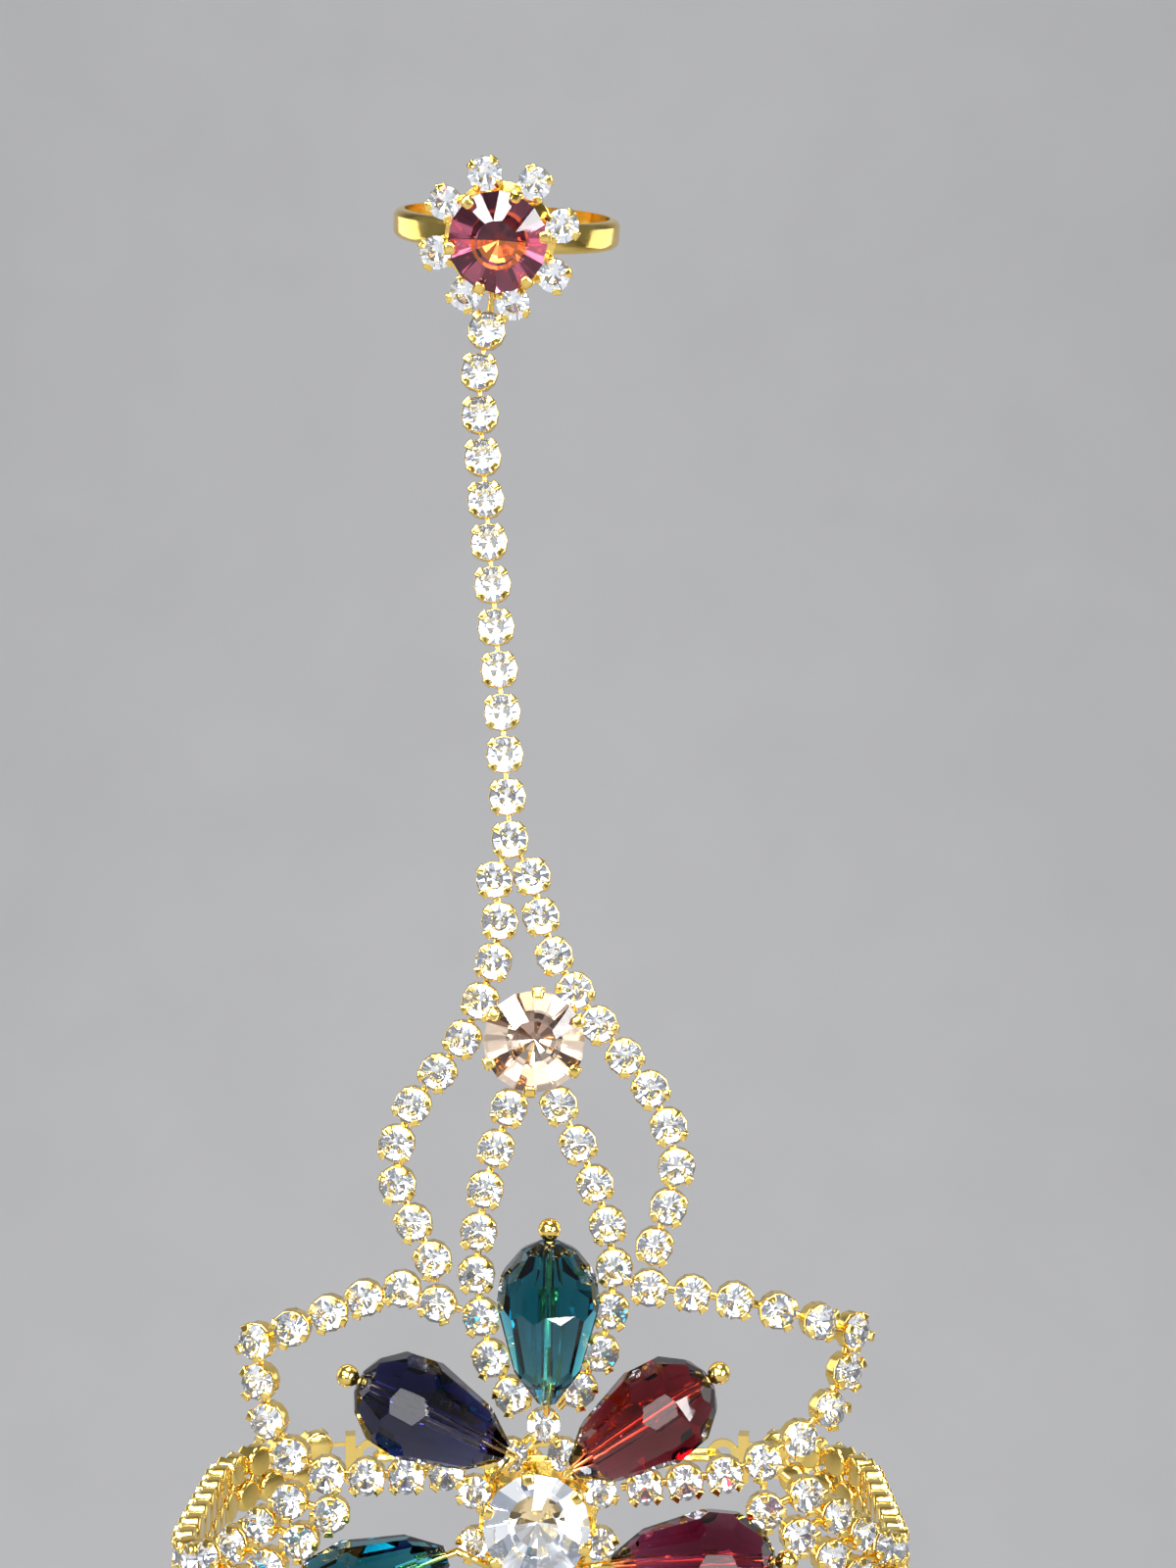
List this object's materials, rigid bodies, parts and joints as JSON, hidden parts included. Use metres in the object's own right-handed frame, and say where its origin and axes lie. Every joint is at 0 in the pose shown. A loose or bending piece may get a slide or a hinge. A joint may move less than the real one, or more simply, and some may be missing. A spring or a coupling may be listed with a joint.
{
  "type": "hand chain bracelet",
  "caption": "Gold-tone hand chain bracelet: a stone-set finger ring, a cup chain and soldered strands to a flower of faceted glass drops, and two-row wrist straps with a clasp.",
  "frame": {"origin": "centre of the wrist hollow, level with the middle of the flower", "axes": "+Z along the forearm towards the fingertips, -Y out of the back of the hand where the stones face, +X to the right as the back of the hand is seen"},
  "size_m": [0.0638, 0.05, 0.1217],
  "materials": {
    "gold_metal": "polished gold plating",
    "clear_crystal": "cut, foil backed",
    "plum_crystal": "cut, foil backed",
    "champagne_crystal": "cut, foil backed",
    "teal_glass": "cut and polished",
    "blue_glass": "cut and polished",
    "red_glass": "cut and polished",
    "crimson_glass": "cut and polished"
  },
  "bodies": {
    "root": {"finger_ring": "gold_metal", "ring_stone": "plum_crystal", "ring_halo_stones": "clear_crystal", "finger_chain": "gold_metal", "finger_chain_stones": "clear_crystal", "outer_strand_left": "gold_metal", "outer_strand_right": "gold_metal", "outer_stones_left": "clear_crystal", "outer_stones_right": "clear_crystal", "upper_setting": "gold_metal", "upper_stone": "champagne_crystal", "inner_strand_left": "gold_metal", "inner_strand_right": "gold_metal", "inner_stones_left": "clear_crystal", "inner_stones_right": "clear_crystal", "centre_setting": "gold_metal", "centre_stone": "clear_crystal", "centre_halo_stones": "clear_crystal", "petal_left": "gold_metal", "petal_right": "gold_metal", "petal_stones_left": "clear_crystal", "petal_stones_right": "clear_crystal", "drop_top": "teal_glass", "drop_blue": "blue_glass", "drop_red": "red_glass", "drop_crimson": "crimson_glass", "drop_lower": "teal_glass", "pin_top": "gold_metal", "pin_blue": "gold_metal", "pin_red": "gold_metal", "pin_crimson": "gold_metal", "pin_lower": "gold_metal", "strap_left": "gold_metal", "strap_right": "gold_metal", "strap_stones_left": "clear_crystal", "strap_stones_right": "clear_crystal", "strap_end_left": "gold_metal", "strap_end_right": "gold_metal", "extender_chain": "gold_metal", "clasp": "gold_metal", "clasp_ring": "gold_metal"}
  },
  "joints": []
}
